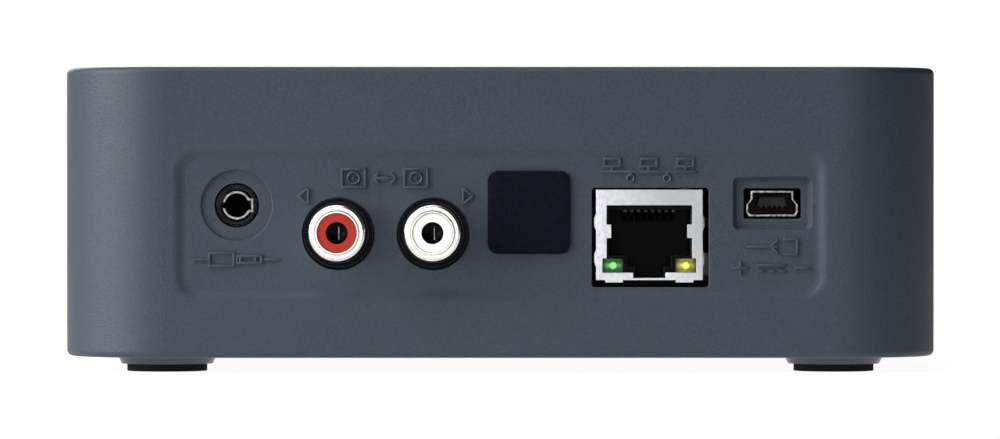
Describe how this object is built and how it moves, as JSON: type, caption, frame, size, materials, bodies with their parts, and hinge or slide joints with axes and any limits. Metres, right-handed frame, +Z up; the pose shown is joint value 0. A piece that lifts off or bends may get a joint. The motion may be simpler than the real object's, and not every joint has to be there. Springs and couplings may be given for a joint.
{
  "type": "network music streamer",
  "caption": "Low square network music streamer on four feet, with audio, network and power sockets in a rear recess and a push button with status lights in front.",
  "frame": {"origin": "centre of the whole object's box at the level that its feet stand on", "axes": "+Z up; the user's front with the button faces -Y; the sockets face +Y; +X is the user's right"},
  "size_m": [0.13, 0.1382, 0.0453],
  "materials": {
    "case_plastic": "fine moulded grain, satin",
    "foot_rubber": "matte",
    "foam_pad": "matte foam",
    "black_plastic": "moulded, semi-gloss",
    "nickel": "bright nickel plate",
    "tinned_steel": "tin plate, satin",
    "gold_plate": "thin gold plate",
    "red_plastic": "moulded, satin",
    "white_plastic": "moulded, satin",
    "green_lens": "tinted epoxy",
    "yellow_lens": "tinted epoxy",
    "board_green": "solder mask",
    "chip_black": "moulded epoxy",
    "can_aluminium": "drawn can",
    "screw_steel": "zinc plate",
    "spacer_brass": "turned",
    "light_plastic": "clear diffusing plastic",
    "button_plastic": "satin",
    "lamp_white": "moulded",
    "thermal_silicone": "soft",
    "heatsink_aluminium": "black anodised",
    "ferrite": "sintered",
    "cable_film": "white film",
    "coax_sheath": "extruded",
    "relay_plastic": "moulded"
  },
  "bodies": {
    "case": {"top_shell": "case_plastic", "bottom_cover": "case_plastic", "case_screws": "screw_steel", "port_blanking_pad": "foam_pad", "main_board": "board_green", "upper_board": "board_green", "board_spacers": "spacer_brass", "upper_board_screws": "screw_steel", "header_socket": "black_plastic", "header_plug": "black_plastic", "line_jack_block": "black_plastic", "aux_jack_body": "black_plastic", "aux_jack_sleeve": "nickel", "aux_jack_contacts": "nickel", "network_jack_shield": "tinned_steel", "network_jack_housing": "black_plastic", "network_jack_contacts": "gold_plate", "dc_jack_shell": "nickel", "dc_jack_tongue": "black_plastic", "dc_jack_contacts": "gold_plate", "switch_body": "black_plastic", "light_pipe": "light_plastic", "status_leds": "lamp_white", "front_board": "board_green", "front_board_screws": "screw_steel", "front_cable": "cable_film", "front_cable_sockets": "lamp_white", "processor": "chip_black", "heatsink": "heatsink_aluminium", "audio_converter": "chip_black", "line_capacitors": "can_aluminium", "muting_relay": "relay_plastic", "network_transformer": "chip_black", "crystals": "can_aluminium", "power_inductors": "ferrite", "bulk_capacitors": "can_aluminium", "radio_module": "board_green", "radio_shield": "tinned_steel", "foot_pad_front_left": "foot_rubber", "foot_pad_front_right": "foot_rubber", "foot_pad_rear_left": "foot_rubber", "foot_pad_rear_right": "foot_rubber", "line_sleeve_right": "nickel", "line_sleeve_left": "nickel", "line_insert_right": "red_plastic", "line_insert_left": "white_plastic", "line_contact_right": "nickel", "line_contact_left": "nickel", "link_lens_green": "green_lens", "link_lens_yellow": "yellow_lens", "antenna_left": "board_green", "antenna_right": "board_green", "antenna_lead_left": "coax_sheath", "antenna_lead_right": "coax_sheath", "thermal_pad": "thermal_silicone", "memory_chips": "chip_black"},
    "connect_button": {"connect_button": "button_plastic"},
    "switch_plunger": {"switch_plunger": "black_plastic"}
  },
  "joints": [
    {"name": "connect_button_press", "type": "slide", "parent": "case", "child": "connect_button", "axis": [0, 1, 0], "range_m": [0, 0.0005], "stiffness_N_per_m": 3000},
    {"name": "switch_plunger_press", "type": "slide", "parent": "case", "child": "switch_plunger", "axis": [0, 1, 0], "range_m": [0, 0.0005]}
  ],
  "couplings": [
    {"joint": "switch_plunger_press", "follows": "connect_button_press", "ratio": 1}
  ]
}
